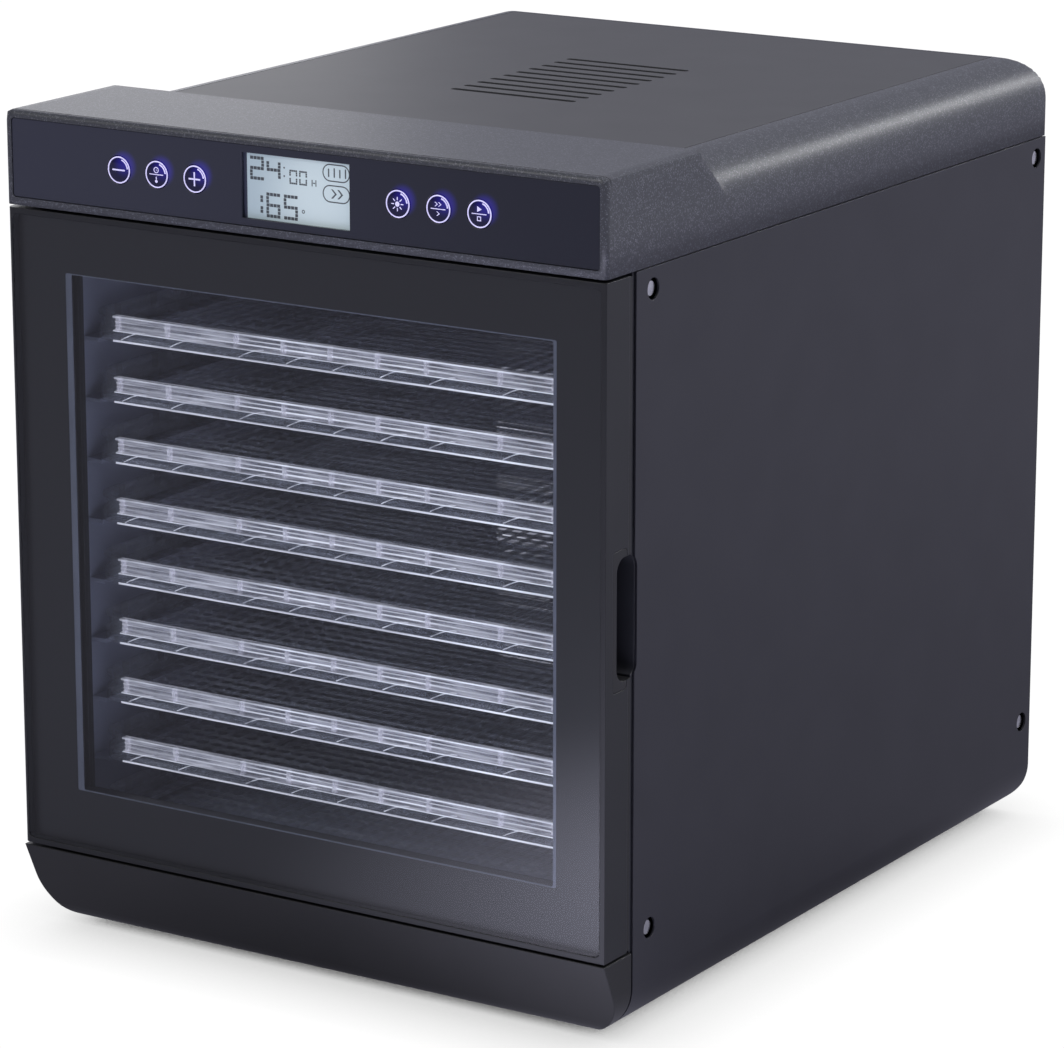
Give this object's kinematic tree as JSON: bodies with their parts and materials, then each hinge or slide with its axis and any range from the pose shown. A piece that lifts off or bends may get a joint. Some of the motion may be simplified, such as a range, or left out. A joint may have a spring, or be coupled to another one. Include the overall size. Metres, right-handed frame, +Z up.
{
  "type": "food dehydrator",
  "caption": "Countertop cabinet food dehydrator with a hinged glass door, stacked clear trays, a rear fan and heater, and a push-button control head.",
  "frame": {"origin": "bottom centre of the whole machine, on the surface that the feet stand on", "axes": "+Z up, the glass door faces -Y, +X is to the right of a person who faces the door"},
  "size_m": [0.345, 0.445, 0.4235],
  "materials": {
    "black_moulding": "moulded ABS, satin, black",
    "side_sheet": "powder coated steel, satin, near black",
    "housing_moulding": "moulded ABS with a fine metallic sparkle",
    "top_moulding": "moulded ABS, fine texture",
    "control_film": "glossy bluish black acrylic",
    "lcd": "liquid crystal display with grey segments",
    "circuit_board": "green solder mask",
    "component": "moulded component cases",
    "inner_moulding": "moulded heat resistant plastic, dark grey",
    "steel": "plain steel",
    "galvanised": "zinc plated steel",
    "aluminium": "pressed aluminium",
    "mica": "mica board",
    "heater_wire": "nickel chrome winding",
    "rubber": "soft rubber",
    "screw": "bright nickel plated screws",
    "black_screw": "black zinc screws",
    "wire": "silicone insulated wires",
    "bush": "acetal",
    "door_glass": "clear tempered glass with a black printed border",
    "adhesive": "black foam tape",
    "tray_plastic": "clear polycarbonate",
    "button_key": "glossy domed key, lit ring",
    "brass": "brass nut"
  },
  "bodies": {
    "cabinet": {"base": "black_moulding", "side_panel_left": "side_sheet", "side_panel_right": "side_sheet", "upper_housing": "housing_moulding", "top_panel": "top_moulding", "control_panel": "control_film", "display": "lcd", "control_board": "circuit_board", "tact_switches": "component", "power_board": "circuit_board", "front_frame": "black_moulding", "rack_left": "inner_moulding", "rack_right": "inner_moulding", "chamber_ceiling": "inner_moulding", "chamber_floor": "inner_moulding", "fan_grille": "inner_moulding", "rear_panel": "black_moulding", "fan_motor": "galvanised", "motor_bracket": "galvanised", "heater_frame": "mica", "heater_coil": "heater_wire", "thermal_cutout": "galvanised", "temperature_sensor": "steel", "cord_gland": "rubber", "wiring": "wire", "feet": "rubber", "side_screws": "screw", "rear_screws": "black_screw", "catch_magnets": "steel", "hinge_bushes": "bush"},
    "door": {"door_frame": "black_moulding", "door_back": "black_moulding", "door_glass": "door_glass", "glass_adhesive": "adhesive", "door_grip": "black_moulding", "catch_plates": "galvanised", "hinge_pins": "steel"},
    "tray_1_body": {"tray_1": "tray_plastic"},
    "tray_2_body": {"tray_2": "tray_plastic"},
    "tray_3_body": {"tray_3": "tray_plastic"},
    "tray_4_body": {"tray_4": "tray_plastic"},
    "tray_5_body": {"tray_5": "tray_plastic"},
    "tray_6_body": {"tray_6": "tray_plastic"},
    "tray_7_body": {"tray_7": "tray_plastic"},
    "tray_8_body": {"tray_8": "tray_plastic"},
    "tray_9_body": {"tray_9": "tray_plastic"},
    "key_minus": {"button_minus": "button_key"},
    "key_mode": {"button_mode": "button_key"},
    "key_plus": {"button_plus": "button_key"},
    "key_warm": {"button_warm": "button_key"},
    "key_speed": {"button_speed": "button_key"},
    "key_power": {"button_power": "button_key"},
    "fan": {"fan_blades": "aluminium", "fan_shaft": "steel", "fan_nut": "brass"}
  },
  "joints": [
    {"name": "door_hinge", "type": "hinge", "parent": "cabinet", "child": "door", "pos_m": [-0.161, -0.211, 0.21125], "axis": [0, 0, -1], "range_deg": [0, 170]},
    {"name": "tray_1_slide", "type": "slide", "parent": "cabinet", "child": "tray_1_body", "axis": [0, -1, 0], "range_m": [0, 0.176]},
    {"name": "tray_2_slide", "type": "slide", "parent": "cabinet", "child": "tray_2_body", "axis": [0, -1, 0], "range_m": [0, 0.176]},
    {"name": "tray_3_slide", "type": "slide", "parent": "cabinet", "child": "tray_3_body", "axis": [0, -1, 0], "range_m": [0, 0.176]},
    {"name": "tray_4_slide", "type": "slide", "parent": "cabinet", "child": "tray_4_body", "axis": [0, -1, 0], "range_m": [0, 0.176]},
    {"name": "tray_5_slide", "type": "slide", "parent": "cabinet", "child": "tray_5_body", "axis": [0, -1, 0], "range_m": [0, 0.176]},
    {"name": "tray_6_slide", "type": "slide", "parent": "cabinet", "child": "tray_6_body", "axis": [0, -1, 0], "range_m": [0, 0.176]},
    {"name": "tray_7_slide", "type": "slide", "parent": "cabinet", "child": "tray_7_body", "axis": [0, -1, 0], "range_m": [0, 0.176]},
    {"name": "tray_8_slide", "type": "slide", "parent": "cabinet", "child": "tray_8_body", "axis": [0, -1, 0], "range_m": [0, 0.176]},
    {"name": "tray_9_slide", "type": "slide", "parent": "cabinet", "child": "tray_9_body", "axis": [0, -1, 0], "range_m": [0, 0.176]},
    {"name": "minus_press", "type": "slide", "parent": "cabinet", "child": "key_minus", "axis": [0, 1, 0], "range_m": [0, 0.0008], "stiffness_N_per_m": 600},
    {"name": "mode_press", "type": "slide", "parent": "cabinet", "child": "key_mode", "axis": [0, 1, 0], "range_m": [0, 0.0008], "stiffness_N_per_m": 600},
    {"name": "plus_press", "type": "slide", "parent": "cabinet", "child": "key_plus", "axis": [0, 1, 0], "range_m": [0, 0.0008], "stiffness_N_per_m": 600},
    {"name": "warm_press", "type": "slide", "parent": "cabinet", "child": "key_warm", "axis": [0, 1, 0], "range_m": [0, 0.0008], "stiffness_N_per_m": 600},
    {"name": "speed_press", "type": "slide", "parent": "cabinet", "child": "key_speed", "axis": [0, 1, 0], "range_m": [0, 0.0008], "stiffness_N_per_m": 600},
    {"name": "power_press", "type": "slide", "parent": "cabinet", "child": "key_power", "axis": [0, 1, 0], "range_m": [0, 0.0008], "stiffness_N_per_m": 600},
    {"name": "fan_spin", "type": "hinge", "parent": "cabinet", "child": "fan", "pos_m": [0, 0.18, 0.20225], "axis": [0, 1, 0], "continuous": true}
  ],
  "couplings": [
    {"joint": "tray_1_slide", "follows": "door_hinge", "m_per_rad": 0.024},
    {"joint": "tray_2_slide", "follows": "door_hinge", "m_per_rad": 0.024},
    {"joint": "tray_3_slide", "follows": "door_hinge", "m_per_rad": 0.024},
    {"joint": "tray_4_slide", "follows": "door_hinge", "m_per_rad": 0.024},
    {"joint": "tray_5_slide", "follows": "door_hinge", "m_per_rad": 0.024},
    {"joint": "tray_6_slide", "follows": "door_hinge", "m_per_rad": 0.024},
    {"joint": "tray_7_slide", "follows": "door_hinge", "m_per_rad": 0.024},
    {"joint": "tray_8_slide", "follows": "door_hinge", "m_per_rad": 0.024},
    {"joint": "tray_9_slide", "follows": "door_hinge", "m_per_rad": 0.024}
  ]
}
